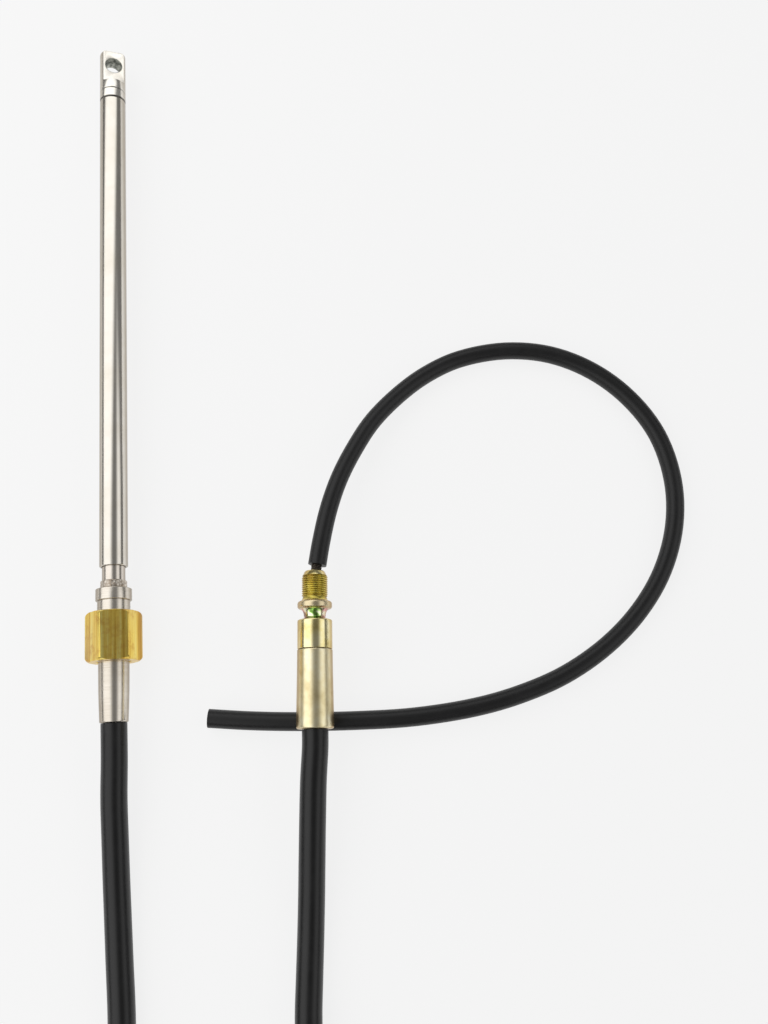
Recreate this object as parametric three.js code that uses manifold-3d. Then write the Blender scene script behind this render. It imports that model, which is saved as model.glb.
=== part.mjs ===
// Boat steering cable: a push-pull cable in a black conduit. Its output end has a sliding ram with an
// eye and a hexagon coupling nut, and its helm end has a crimped ferrule, a threaded nose and a black
// sleeve over the free core. Millimetres, +Z up, lying on the floor at z = 0, with the ram along +Y.
import * as THREE from "three";
import { mergeVertices } from "three/addons/utils/BufferGeometryUtils.js";
import Module from "manifold-3d";

const wasm = await Module();
wasm.setup();

// Clearances and facets
const seatGap = 0.3; // between pieces that touch
const runningGap = 0.3; // radial, between pieces that slide or turn on each other
const floorGap = 0.05; // under the conduit and the sleeve
const roundSides = 48;
const threadSides = 36;
const cordSides = 10;

// Ram: a polished tube with a flattened eye at its end
const ramRadius = 7.94;
const ramWall = 1.19;
const ramStroke = 229;
const ramOverlap = 53; // guide tube left inside the ram at full stroke
const ramRest = 12.75; // lower end of the ram above the collar's seat face
const ramEndChamfer = 0.7;
const eyeSectionLength = 34.6;
const eyeHalfThickness = 4.75;
const eyeFlatLength = 22.2;
const eyeHoleRadius = 5.2;
const eyeHoleInset = 10.1; // from the tip to the hole's middle
const eyeTipChamfer = 1.6;
const eyeTurn = 21.4; // degrees about the ram's axis
const eyeHoleChamfer = 0.35;
const spigotLength = 12;
const spigotClearance = 8; // from the guide tube's end to the spigot, with the ram drawn in
const jointChamfer = 0.5; // groove between the ram tube and the eye
const turnedLineInset = 6.4; // fine turned line, above that groove
const turnedLineWidth = 0.6;
const turnedLineDepth = 0.25;

// Core cable inside
const coreRadius = 3;
const coreSocketDepth = 9;
const coreRunIn = 60; // below the collar's seat face

// Guide tube and the ring at its foot
const guideWall = 1.5;
const guideSocketDepth = 35;
const ringHeight = 4.4;
const ringWall = 0.7;
const ringEdge = 0.25;

// Output fitting: collar, neck and crimped ferrule in one piece
const collarRadius = 10;
const collarLength = 6.6;
const collarEdge = 0.5;
const collarMouthClearance = 0.15; // between the foot ring's side and the collar's chamfered mouth
const neckRadius = 9.05;
const ferruleTopRadius = 8.5;
const ferruleEndRadius = 7.85;
const ferruleLength = 33;
const ferruleEdge = 0.9;

// Hexagon coupling nut
const nutAcrossFlats = 27;
const nutLength = 27.3;
const nutOffset = 6.7; // from the collar's back to the nut's front
const nutThreadRadius = 10.3;
const nutLipLength = 7.8;
const nutChamfer = 1.9; // how far the end faces' circle lies inside the corners
const nutTurn = 14.2; // degrees about its axis

// Helm end
const helmOffset = [109.42, -84.59]; // ferrule's end, from the collar's seat on the ram's axis
const helmTurn = 2.7; // degrees, towards +X from the ram's direction
const helmFerruleLength = 42.5;
const helmFerruleRadius = 9.75;
const helmFerruleFlare = 10.2;
const helmFerruleEdge = 1.2;
const helmBodyLength = 16.05;
const helmBodyRadius = 9.66;
const helmBodyEdge = 0.7;
const helmGrooveLength = 6.2;
const helmGrooveRadius = 6.07;
const helmFlangeLength = 4.1;
const helmFlangeRadius = 9.58;
const helmFlangeEdge = 1.1;
const helmShankRadius = 6;
const helmShankLength = 28;
const threadRadius = 7.2;
const threadDepth = 0.65;
const threadPitch = 1.2;
const threadTurns = 10;
const threadRootLength = 2.2;
const threadRootRadius = 7.6;
const noseChamferLength = 2.85;
const noseTipRadius = 5.7;
const coreStickOut = 3.2;

// Conduit and sleeve
const conduitRadius = 7.15;
const sleeveRadius = 5.2;
const coilRadius = 126; // at the middle of the turns
const coilLayers = 2;
const coilCentre = [116, -420];
const coilEdge = 3;

// Centre lines that were chosen by eye, x and y from the collar's seat, z from the floor
const outputRunPoints = [
  [-0.5, -114, 13.3],
  [-0.5, -135, 10.9],
  [-0.4, -155, 8.8],
  [0, -175, 7.4],
  [0.7, -195, 7.2],
  [1.8, -226, 7.2],
  [1.2, -256, 7.2],
  [-2, -290, 7.2],
  [-5.5, -325, 7.2],
  [-7.8, -354.5, 7.2],
];
const helmRunPoints = [
  [107.1, -111, 19.6],
  [105.5, -131, 17.3],
  [103.9, -152, 13.8],
  [102.4, -172, 10],
  [100.8, -192, 7.8],
  [99.2, -212, 8],
  [98, -232, 10.4],
  [98.9, -250, 13.7],
  [103.2, -265.5, 17.2],
  [109, -276, 19.7],
  [114.2, -281.8, 21.2],
];
const sleevePoints = [
  [115.1, 5.1, 20.9],
  [117.9, 18, 20.6],
  [123, 37, 19.4],
  [129.8, 55, 17.4],
  [139.3, 73, 14.6],
  [152.2, 92, 11.4],
  [171.4, 110.5, 8],
  [188.2, 121.8, 6.3],
  [207, 129.6, 5.3],
  [234.8, 133, 5.25],
  [261.7, 128.7, 5.25],
  [286, 116.4, 5.25],
  [306, 97.4, 5.25],
  [319.8, 73.5, 5.25],
  [325.2, 45, 5.25],
  [322.3, 18, 5.25],
  [312, -8, 5.25],
  [296, -30, 5.25],
  [275, -48.6, 5.25],
  [249.5, -63.4, 5.25],
  [223, -72.6, 5.25],
  [197.6, -77.9, 5.25],
  [164, -80.9, 5.25],
  [130.7, -80.7, 5.25],
  [97, -79, 5.25],
  [72.7, -76.9, 5.25],
  [49.8, -74.1, 5.25],
];

// Sizes worked out from those above
const radians = THREE.MathUtils.degToRad;
const nutCornerRadius = nutAcrossFlats / 2 / Math.cos(Math.PI / 6);
const outputHeight = nutCornerRadius * Math.cos(Math.PI / 6 - radians(nutTurn));
const helmHeight = 2 * sleeveRadius + 2 * floorGap + helmFerruleFlare + seatGap;
const ramBore = ramRadius - ramWall;
const guideRadius = ramBore - runningGap;
const guideBore = guideRadius - guideWall;
const coreBore = coreRadius + runningGap;
const guideTop = ramRest + ramStroke + ramOverlap;
const spigotFoot = guideTop + spigotClearance;
const eyeBase = spigotFoot + spigotLength + seatGap;
const ramTop = eyeBase - seatGap;
const eyeTip = eyeBase + eyeSectionLength;
const ringRadius = guideRadius + seatGap + ringWall;
const collarMouthRadius = ringRadius + collarMouthClearance;
const nutFront = -collarLength - nutOffset;
const nutBack = nutFront - nutLength;
const ferruleEnd = nutBack - ferruleLength;

// Turns a closed or axis-to-axis profile of [radius, station] points about the Y axis.
function turned(points, sides = roundSides) {
  const profile = points.map(([radius, station]) => new THREE.Vector2(radius, station));
  return new THREE.LatheGeometry(profile, sides);
}

// A turned ring: its outside from the bottom up, and then its inside from the top down.
function turnedRing(outside, inside, sides = roundSides) {
  return turned([...outside, ...inside, outside[0]], sides);
}

function toSolid(geometry) {
  const bare = geometry.clone();
  bare.deleteAttribute("normal");
  bare.deleteAttribute("uv");
  const merged = mergeVertices(bare, 1e-4);
  const mesh = new wasm.Mesh({
    numProp: 3,
    vertProperties: merged.attributes.position.array,
    triVerts: new Uint32Array(merged.index.array),
  });
  return new wasm.Manifold(mesh);
}

function toGeometry(solid) {
  const mesh = solid.getMesh();
  const geometry = new THREE.BufferGeometry();
  geometry.setAttribute("position", new THREE.BufferAttribute(new Float32Array(mesh.vertProperties), 3));
  geometry.setIndex(new THREE.BufferAttribute(new Uint32Array(mesh.triVerts), 1));
  geometry.computeVertexNormals();
  return geometry;
}

// Points of a curve that rounds an edge between two [radius, station] points, pulled towards a corner.
function roundedEdge(from, to, corner, steps = 4) {
  const points = [];
  for (let step = 0; step <= steps; step += 1) {
    const t = step / steps;
    const keep = (1 - t) * (1 - t);
    const pull = 2 * t * (1 - t);
    points.push([
      keep * from[0] + pull * corner[0] + t * t * to[0],
      keep * from[1] + pull * corner[1] + t * t * to[1],
    ]);
  }
  return points;
}

function namedMesh(name, geometry, look) {
  const mesh = new THREE.Mesh(geometry, new THREE.MeshStandardMaterial(look));
  mesh.name = name;
  return mesh;
}

const stainless = { color: 0xd9d6ce, roughness: 0.18, metalness: 1 };
const satinSteel = { color: 0xc4c0b6, roughness: 0.35, metalness: 1 };
const brass = { color: 0xc9a548, roughness: 0.35, metalness: 1 };
const yellowZinc = { color: 0xcdbb72, roughness: 0.3, metalness: 1 };
const coreSteel = { color: 0x3c3832, roughness: 0.6, metalness: 0.8 };
const conduitPlastic = { color: 0x2b2b2c, roughness: 0.45, metalness: 0 };
const sleevePlastic = { color: 0x1d1d1e, roughness: 0.5, metalness: 0 };

function ramTube() {
  const outside = [
    [ramRadius - ramEndChamfer, ramRest],
    [ramRadius, ramRest + ramEndChamfer],
    [ramRadius, ramTop - jointChamfer],
    [ramRadius - jointChamfer, ramTop],
  ];
  const inside = [
    [ramBore, ramTop],
    [ramBore, ramRest],
  ];
  return namedMesh("ram_tube", turnedRing(outside, inside), stainless);
}

function ramEye() {
  const lineAt = eyeBase + turnedLineInset;
  const lineRadius = ramRadius - turnedLineDepth;
  const body = turned([
    [0, spigotFoot + coreSocketDepth],
    [coreBore, spigotFoot + coreSocketDepth],
    [coreBore, spigotFoot],
    [ramBore - seatGap, spigotFoot],
    [ramBore - seatGap, eyeBase],
    [ramRadius - jointChamfer, eyeBase],
    [ramRadius, eyeBase + jointChamfer],
    [ramRadius, lineAt - turnedLineWidth / 2],
    [lineRadius, lineAt],
    [ramRadius, lineAt + turnedLineWidth / 2],
    [ramRadius, eyeTip - eyeTipChamfer],
    [ramRadius - eyeTipChamfer, eyeTip],
    [0, eyeTip],
  ]);
  const cutWidth = 4 * ramRadius;
  const cutLength = eyeFlatLength + 1;
  let eye = toSolid(body);
  for (const side of [-1, 1]) {
    const cut = new THREE.BoxGeometry(cutWidth, cutLength, cutWidth);
    const middle = eyeTip - eyeFlatLength + cutLength / 2;
    cut.translate(0, middle, side * (eyeHalfThickness + cutWidth / 2));
    eye = eye.subtract(toSolid(cut));
  }
  const mouth = eyeHoleRadius + eyeHoleChamfer;
  const past = eyeHalfThickness + 1;
  const hole = turned([
    [0, -past],
    [mouth, -past],
    [mouth, -eyeHalfThickness],
    [eyeHoleRadius, -eyeHalfThickness + eyeHoleChamfer],
    [eyeHoleRadius, eyeHalfThickness - eyeHoleChamfer],
    [mouth, eyeHalfThickness],
    [mouth, past],
    [0, past],
  ]);
  hole.rotateX(Math.PI / 2);
  hole.translate(0, eyeTip - eyeHoleInset, 0);
  eye = eye.subtract(toSolid(hole));
  const mesh = namedMesh("ram_eye", toGeometry(eye), stainless);
  mesh.rotation.y = radians(eyeTurn);
  return mesh;
}

function coreRod() {
  const foot = -coreRunIn;
  const head = spigotFoot + coreSocketDepth - seatGap;
  const profile = [
    [0, foot],
    [coreRadius, foot],
    [coreRadius, head],
    [0, head],
  ];
  return namedMesh("core_rod", turned(profile, roundSides / 2), coreSteel);
}

function guideTube() {
  const outside = [
    [guideRadius, -guideSocketDepth + seatGap],
    [guideRadius, guideTop],
  ];
  const inside = [
    [guideBore, guideTop],
    [guideBore, -guideSocketDepth + seatGap],
  ];
  return namedMesh("guide_tube", turnedRing(outside, inside), stainless);
}

function footRing() {
  const bore = guideRadius + seatGap;
  const outside = [
    [ringRadius - ringEdge, seatGap],
    [ringRadius, seatGap + ringEdge],
    [ringRadius, seatGap + ringHeight - ringEdge],
    [ringRadius - ringEdge, seatGap + ringHeight],
  ];
  const inside = [
    [bore, seatGap + ringHeight],
    [bore, seatGap],
  ];
  return namedMesh("foot_ring", turnedRing(outside, inside), satinSteel);
}

function outputFitting() {
  const guideSeat = guideRadius + seatGap;
  const taperMiddle = (nutBack + ferruleEnd) / 2;
  const middleRadius = ferruleTopRadius - (ferruleTopRadius - ferruleEndRadius) * 0.25;
  const outside = [
    ...roundedEdge(
      [ferruleEndRadius - ferruleEdge / 2, ferruleEnd],
      [ferruleEndRadius, ferruleEnd + ferruleEdge],
      [ferruleEndRadius, ferruleEnd],
    ),
    [middleRadius, taperMiddle],
    [ferruleTopRadius, nutBack - seatGap],
    [neckRadius, nutBack + seatGap],
    [neckRadius, -collarLength],
    [collarRadius - collarEdge, -collarLength],
    [collarRadius, -collarLength + collarEdge],
    [collarRadius, -collarEdge],
    [collarRadius - collarEdge, 0],
  ];
  const inside = [
    [collarMouthRadius, 0],
    [guideSeat, guideSeat - collarMouthRadius],
    [guideSeat, -guideSocketDepth],
    [coreBore, -guideSocketDepth],
    [coreBore, ferruleEnd],
  ];
  return namedMesh("output_fitting", turnedRing(outside, inside), satinSteel);
}

function couplingNut() {
  const prism = new THREE.CylinderGeometry(nutCornerRadius, nutCornerRadius, nutLength, 6);
  prism.rotateY(Math.PI / 6);
  prism.translate(0, (nutFront + nutBack) / 2, 0);
  const chamferRise = nutChamfer * Math.tan(Math.PI / 6);
  const past = nutCornerRadius + 1;
  const pastRise = chamferRise + Math.tan(Math.PI / 6);
  const chamfers = turned([
    [0, nutBack],
    [nutCornerRadius - nutChamfer, nutBack],
    [past, nutBack + pastRise],
    [past, nutFront - pastRise],
    [nutCornerRadius - nutChamfer, nutFront],
    [0, nutFront],
  ]);
  const lipBore = neckRadius + runningGap;
  const bore = turned([
    [0, nutBack - 1],
    [lipBore, nutBack - 1],
    [lipBore, nutBack + nutLipLength],
    [nutThreadRadius, nutBack + nutLipLength],
    [nutThreadRadius, nutFront - 1],
    [nutThreadRadius + 1, nutFront],
    [nutThreadRadius + 1, nutFront + 1],
    [0, nutFront + 1],
  ]);
  const nut = toSolid(prism).intersect(toSolid(chamfers)).subtract(toSolid(bore));
  const mesh = namedMesh("coupling_nut", toGeometry(nut), brass);
  mesh.rotation.y = radians(nutTurn);
  return mesh;
}

function helmFerrule() {
  const shankSeat = helmShankRadius + seatGap;
  const socketFoot = helmFerruleLength - helmShankLength;
  const outside = [
    ...roundedEdge(
      [helmFerruleFlare - helmFerruleEdge, 0],
      [helmFerruleFlare, helmFerruleEdge],
      [helmFerruleFlare, 0],
    ),
    [helmFerruleFlare, helmFerruleLength / 4],
    [helmFerruleRadius, helmFerruleLength - helmFerruleEdge / 4],
    [helmFerruleRadius - helmFerruleEdge / 4, helmFerruleLength],
  ];
  const inside = [
    [shankSeat, helmFerruleLength],
    [shankSeat, socketFoot],
    [coreBore, socketFoot],
    [coreBore, 0],
  ];
  return namedMesh("helm_ferrule", turnedRing(outside, inside), yellowZinc);
}

// One ridge of the threaded nose after another, from the flange up.
function threadRidges(foot) {
  const points = [];
  for (let turn = 0; turn < threadTurns; turn += 1) {
    const station = foot + turn * threadPitch;
    points.push([threadRadius - threadDepth, station]);
    points.push([threadRadius, station + threadPitch / 2]);
  }
  return points;
}

function helmFitting() {
  const bodyFoot = helmFerruleLength + seatGap;
  const bodyTop = bodyFoot + helmBodyLength;
  const flangeFoot = bodyTop + helmGrooveLength;
  const flangeTop = flangeFoot + helmFlangeLength;
  const threadFoot = flangeTop + threadRootLength;
  const threadTop = threadFoot + threadTurns * threadPitch;
  const noseTip = threadTop + noseChamferLength;
  const flangeMiddle = (flangeFoot + flangeTop) / 2;
  const outside = [
    [helmShankRadius, bodyFoot - helmShankLength],
    [helmShankRadius, bodyFoot],
    [helmBodyRadius - helmBodyEdge / 2, bodyFoot],
    [helmBodyRadius, bodyFoot + helmBodyEdge],
    ...roundedEdge(
      [helmBodyRadius, bodyTop - helmBodyEdge],
      [helmBodyRadius - helmBodyEdge, bodyTop],
      [helmBodyRadius, bodyTop],
    ),
    ...roundedEdge(
      [helmGrooveRadius + 1.5, bodyTop],
      [helmGrooveRadius + 1.2, flangeFoot],
      [helmGrooveRadius - 1.5, bodyTop + helmGrooveLength * 0.45],
      6,
    ),
    ...roundedEdge(
      [helmFlangeRadius - helmFlangeEdge, flangeFoot],
      [helmFlangeRadius, flangeMiddle],
      [helmFlangeRadius, flangeFoot],
      3,
    ),
    ...roundedEdge(
      [helmFlangeRadius, flangeMiddle + seatGap],
      [helmFlangeRadius - helmFlangeEdge, flangeTop],
      [helmFlangeRadius, flangeTop],
      3,
    ),
    [threadRootRadius, flangeTop],
    ...threadRidges(threadFoot),
    [threadRadius - threadDepth, threadTop],
    [noseTipRadius, noseTip],
  ];
  const inside = [
    [coreBore, noseTip],
    [coreBore, bodyFoot - helmShankLength],
  ];
  return namedMesh("helm_fitting", turnedRing(outside, inside, threadSides), yellowZinc);
}

function helmCore() {
  const foot = helmFerruleLength - helmShankLength;
  const noseTip =
    helmFerruleLength +
    seatGap +
    helmBodyLength +
    helmGrooveLength +
    helmFlangeLength +
    threadRootLength +
    threadTurns * threadPitch +
    noseChamferLength;
  const head = noseTip + coreStickOut;
  const profile = [
    [0, foot],
    [coreRadius, foot],
    [coreRadius, head],
    [0, head],
  ];
  return namedMesh("helm_core", turned(profile, roundSides / 2), coreSteel);
}

// A round cord of plain solid section along a list of centre points.
function cord(name, points, radius, pitch, look) {
  const path = new THREE.CatmullRomCurve3(points, false, "centripetal");
  const section = new THREE.Shape();
  for (let side = 0; side < cordSides; side += 1) {
    const angle = (2 * Math.PI * side) / cordSides;
    const corner = [radius * Math.cos(angle), radius * Math.sin(angle)];
    if (side === 0) section.moveTo(...corner);
    else section.lineTo(...corner);
  }
  section.closePath();
  const steps = Math.ceil(path.getLength() / pitch);
  const geometry = new THREE.ExtrudeGeometry(section, { steps, extrudePath: path });
  return namedMesh(name, geometry, look);
}

function vectors(list) {
  return list.map((point) => new THREE.Vector3(...point));
}

function outputRun() {
  const start = new THREE.Vector3(0, ferruleEnd - seatGap, outputHeight);
  const next = new THREE.Vector3(0, ferruleEnd - 20, outputHeight - 0.6);
  const points = [start, next, ...vectors(outputRunPoints)];
  return cord("conduit_output", points, conduitRadius, 2.4 * conduitRadius * 2, conduitPlastic);
}

function helmRun() {
  const [x, y] = helmOffset;
  const away = new THREE.Vector3(-Math.sin(radians(helmTurn)), -Math.cos(radians(helmTurn)), 0);
  const start = new THREE.Vector3(x, y, helmHeight).addScaledVector(away, seatGap);
  const next = start.clone().addScaledVector(away, 9);
  const points = [start, next, ...vectors(helmRunPoints)];
  return cord("conduit_helm", points, conduitRadius, 2.4 * conduitRadius, conduitPlastic);
}

function sleeve() {
  return cord("core_sleeve", vectors(sleevePoints), sleeveRadius, 4.4 * sleeveRadius, sleevePlastic);
}

// The turns that lie out of sight, as one ring of their outer shape.
function conduitCoil() {
  const height = coilLayers * 2 * conduitRadius;
  const outer = coilRadius + conduitRadius;
  const inner = coilRadius - conduitRadius;
  const foot = floorGap;
  const head = floorGap + height;
  const profile = [
    [outer - coilEdge, foot],
    [outer, foot + coilEdge],
    [outer, head - coilEdge],
    [outer - coilEdge, head],
    [inner + coilEdge, head],
    [inner, head - coilEdge],
    [inner, foot + coilEdge],
    [inner + coilEdge, foot],
    [outer - coilEdge, foot],
  ];
  const geometry = turned(profile, 2 * roundSides);
  geometry.rotateX(Math.PI / 2);
  const mesh = namedMesh("conduit_coil", geometry, conduitPlastic);
  mesh.position.set(coilCentre[0], coilCentre[1], 0);
  return mesh;
}

const outputEnd = new THREE.Group();
outputEnd.position.z = outputHeight;
outputEnd.add(ramTube(), ramEye(), coreRod(), guideTube(), footRing(), outputFitting(), couplingNut());

const helmEnd = new THREE.Group();
helmEnd.position.set(...helmOffset, helmHeight);
helmEnd.rotation.z = -radians(helmTurn);
helmEnd.add(helmFerrule(), helmFitting(), helmCore());

const cable = new THREE.Group();
cable.add(outputEnd, helmEnd);

// The origin is on the floor, under the middle of the fittings' box.
cable.updateMatrixWorld(true);
const middle = new THREE.Box3().setFromObject(cable, true).getCenter(new THREE.Vector3());
cable.add(outputRun(), helmRun(), sleeve(), conduitCoil());
cable.position.set(-middle.x, -middle.y, 0);

const group = new THREE.Group();
group.add(cable);

export default group;
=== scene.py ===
import bpy
import math
from mathutils import Matrix, Vector, noise


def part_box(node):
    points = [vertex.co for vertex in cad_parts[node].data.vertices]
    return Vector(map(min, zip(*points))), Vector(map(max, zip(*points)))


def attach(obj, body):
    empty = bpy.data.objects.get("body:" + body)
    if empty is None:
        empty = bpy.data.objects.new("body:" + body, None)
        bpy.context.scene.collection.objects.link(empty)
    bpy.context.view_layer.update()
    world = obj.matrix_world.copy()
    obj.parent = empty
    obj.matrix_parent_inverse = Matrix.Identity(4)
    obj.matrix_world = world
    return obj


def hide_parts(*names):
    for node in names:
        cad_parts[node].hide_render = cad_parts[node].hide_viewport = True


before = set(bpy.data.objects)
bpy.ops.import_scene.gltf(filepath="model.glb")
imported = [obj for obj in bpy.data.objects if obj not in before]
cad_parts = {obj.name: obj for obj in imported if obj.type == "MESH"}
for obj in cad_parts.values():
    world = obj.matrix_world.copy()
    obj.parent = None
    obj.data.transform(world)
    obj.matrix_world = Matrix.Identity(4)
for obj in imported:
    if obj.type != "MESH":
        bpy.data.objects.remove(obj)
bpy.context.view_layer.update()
mm = 0.001
seatGap = 0.3  # between pieces that touch

seatLow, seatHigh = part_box("output_fitting")
collarSeat = Vector(((seatLow[0] + seatHigh[0]) / 2, seatHigh[1], 0))  # on the ram's axis, on the floor
outputHeight = (seatLow[2] + seatHigh[2]) / 2
helmEnd = {"offset": (109.42, -84.59), "height": 21.0, "turn": 2.7}  # the ferrule's end, mm and degrees


def fromSeat(x, y, z):  # millimetres from the collar's seat to the row frame
    return collarSeat + Vector((x, y, z)) * mm


def helmMatrix():
    place = Matrix.Translation(fromSeat(*helmEnd["offset"], helmEnd["height"]))
    return place @ Matrix.Rotation(-math.radians(helmEnd["turn"]), 4, "Z")


# Camera, at the photograph's viewing angle

cameraView = {"foot": (144.58, -113.41), "height": 589.0, "tilt": 14.5, "turn": 3.845, "lens": 36.39,
              "sensor": 36, "nearest": 0.02, "farthest": 20}


def setCamera():
    view = cameraView
    data = bpy.data.cameras.new("camera")
    data.lens = view["lens"]
    data.sensor_width = view["sensor"]
    data.clip_start = view["nearest"]
    data.clip_end = view["farthest"]
    camera = bpy.data.objects.new("camera", data)
    bpy.context.scene.collection.objects.link(camera)
    camera.location = fromSeat(*view["foot"], view["height"])
    camera.rotation_euler = (math.radians(view["tilt"]), 0, -math.radians(view["turn"]))
    bpy.context.scene.camera = camera


# Shader tools


class Wire:  # a socket that takes Python's operators
    def __init__(self, sheet, socket):
        self.sheet = sheet
        self.socket = socket

    def __add__(self, other):
        return self.sheet.calc("ADD", self, other)

    def __radd__(self, other):
        return self.sheet.calc("ADD", other, self)

    def __sub__(self, other):
        return self.sheet.calc("SUBTRACT", self, other)

    def __rsub__(self, other):
        return self.sheet.calc("SUBTRACT", other, self)

    def __mul__(self, other):
        return self.sheet.calc("MULTIPLY", self, other)

    def __rmul__(self, other):
        return self.sheet.calc("MULTIPLY", other, self)

    def __truediv__(self, other):
        return self.sheet.calc("DIVIDE", self, other)

    def __pow__(self, other):
        return self.sheet.calc("POWER", self, other)

    def magnitude(self):
        return self.sheet.calc("ABSOLUTE", self)


class Sheet:  # a sheet of shader nodes
    def __init__(self, tree):
        self.tree = tree

    def add(self, kind, settings=None, inputs=None, output=0):
        node = self.tree.nodes.new("ShaderNode" + kind)
        for key, value in (settings or {}).items():
            if key == "stops":
                self.setStops(node.color_ramp, value)
            else:
                setattr(node, key, value)
        for key, value in (inputs or {}).items():
            if isinstance(value, Wire):
                self.tree.links.new(value.socket, node.inputs[key])
            else:
                node.inputs[key].default_value = value
        return Wire(self, node.outputs[output])

    def setStops(self, ramp, stops):
        while len(ramp.elements) < len(stops):
            ramp.elements.new(0.5)
        for element, (place, tone) in zip(ramp.elements, stops):
            element.position = place
            element.color = tone

    def calc(self, operation, first, second=0.0):
        return self.add("Math", {"operation": operation}, {0: first, 1: second})

    def place(self, move=(0, 0, 0), turn=(0, 0, 0)):  # object coordinates, moved and turned
        coordinates = self.add("TexCoord", output="Object")
        return self.add("Mapping", {"vector_type": "TEXTURE"},
                        {"Vector": coordinates, "Location": move, "Rotation": turn})

    def axis(self, vector, name):
        return self.add("SeparateXYZ", None, {0: vector}, output=name)

    def stretch(self, vector, across, along):
        return self.add("VectorMath", {"operation": "MULTIPLY"}, {0: vector, 1: (across, along, across)})

    def clouds(self, vector, scale, detail=3.0, roughness=0.5):
        return self.add("TexNoise", None, {"Vector": vector, "Scale": scale, "Detail": detail,
                                           "Roughness": roughness}, output="Fac")

    def ramp(self, factor, *stops):
        return self.add("ValToRGB", {"stops": stops}, {"Fac": factor})

    def mapped(self, value, source, target, kind="LINEAR"):
        return self.add("MapRange", {"interpolation_type": kind},
                        {"Value": value, "From Min": source[0], "From Max": source[1],
                         "To Min": target[0], "To Max": target[1]})

    def between(self, factor, low, high):  # low where the factor is 0, high where it is 1
        return self.mapped(factor, (0.0, 1.0), (low, high))

    def within(self, value, start, end):  # 0 before start, 1 after end
        return self.mapped(value, (start, end), (0.0, 1.0))

    def eased(self, value, start, end):  # the same with soft ends
        return self.mapped(value, (start, end), (0.0, 1.0), "SMOOTHSTEP")

    def band(self, value, middle, half, blur):  # 1 inside a band, 0 outside it
        return 1 - self.eased((value - middle).magnitude(), half, half + blur)

    def share(self, first, part, second):  # a weighted mean of two factors
        return first * part + second * (1 - part)

    def blend(self, factor, first, second, kind="MIX"):
        return self.add("Mix", {"data_type": "RGBA", "blend_type": kind}, {0: factor, 6: first, 7: second},
                        output=2)


class Finish(Sheet):  # one material
    def __init__(self, name, plain):
        self.material = bpy.data.materials.new(name)
        self.material.use_nodes = True
        super().__init__(self.material.node_tree)
        self.shader = self.tree.nodes["Principled BSDF"]
        for socket, value in plain.items():
            self.shader.inputs[socket].default_value = value

    def feed(self, socket, wire):
        self.tree.links.new(wire.socket, self.shader.inputs[socket])

    def relief(self, height, strength, distance):
        self.feed("Normal", self.add("Bump", None, {"Height": height, "Strength": strength,
                                                    "Distance": distance * mm}))

    def rim(self, tone, tint):  # painted shade: the metal's colour is darkened where its surface turns away from the camera
        facing = self.add("LayerWeight", None, {"Blend": rimBlend}, output="Facing")
        return self.blend(self.eased(facing, *rimReach), tone, self.blend(1.0, tone, tint, "MULTIPLY"))


def colour(red, green, blue):  # from the 0 to 255 values of a screen
    def linear(value):
        value = value / 255
        return value / 12.92 if value <= 0.04045 else ((value + 0.055) / 1.055) ** 2.4
    return (linear(red), linear(green), linear(blue), 1)


def grey(value):
    return (value, value, value, 1)


def metal(name, ior):
    return Finish(name, {"Metallic": 1.0, "IOR": ior})


# Modelling tools

mergeReach = 0.004  # mm


def clearSelection():
    if bpy.context.object and bpy.context.object.mode != "OBJECT":
        bpy.ops.object.mode_set(mode="OBJECT")
    bpy.ops.object.select_all(action="DESELECT")


def chooseOnly(piece):
    clearSelection()
    piece.select_set(True)
    bpy.context.view_layer.objects.active = piece


def applyModifier(piece, kind, **settings):
    chooseOnly(piece)
    modifier = piece.modifiers.new(kind.lower(), kind)
    for key, value in settings.items():
        setattr(modifier, key, value)
    bpy.ops.object.modifier_apply(modifier=modifier.name)


def bevelEdges(piece, width, segments, sharperThan):  # millimetres, degrees
    applyModifier(piece, "BEVEL", width=width * mm, segments=segments, limit_method="ANGLE",
                  angle_limit=math.radians(sharperThan))


def cutWith(piece, tool, operation="DIFFERENCE"):
    applyModifier(piece, "BOOLEAN", operation=operation, object=tool, solver="EXACT")
    bpy.data.objects.remove(tool)


def outwards(piece):
    chooseOnly(piece)
    bpy.ops.object.mode_set(mode="EDIT")
    bpy.ops.mesh.select_all(action="SELECT")
    bpy.ops.mesh.remove_doubles(threshold=mergeReach * mm)
    bpy.ops.mesh.normals_make_consistent(inside=False)
    bpy.ops.object.mode_set(mode="OBJECT")


def turned(name, profile, steps=128):  # spins a closed or axis-to-axis outline of (radius, station) about Y
    clearSelection()
    bpy.ops.mesh.primitive_plane_add(size=mm)
    piece = bpy.context.object
    piece.name = name
    bpy.ops.object.mode_set(mode="EDIT")
    bpy.ops.mesh.select_mode(type="VERT")
    bpy.ops.mesh.select_all(action="SELECT")
    bpy.ops.mesh.merge(type="CENTER")
    radius, station = profile[0]
    bpy.ops.transform.translate(value=(radius * mm, station * mm, 0))
    for (fromRadius, fromStation), (toRadius, toStation) in zip(profile, profile[1:]):
        step = ((toRadius - fromRadius) * mm, (toStation - fromStation) * mm, 0)
        bpy.ops.mesh.extrude_vertices_move(TRANSFORM_OT_translate={"value": step})
    bpy.ops.mesh.select_all(action="SELECT")
    bpy.ops.mesh.spin(steps=steps, angle=2 * math.pi, center=(0, 0, 0), axis=(0, 1, 0), use_auto_merge=True)
    bpy.ops.object.mode_set(mode="OBJECT")
    outwards(piece)
    return piece


def smoothPiece(piece, angle=32):
    chooseOnly(piece)
    bpy.ops.object.shade_smooth_by_angle(angle=math.radians(angle))


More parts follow.
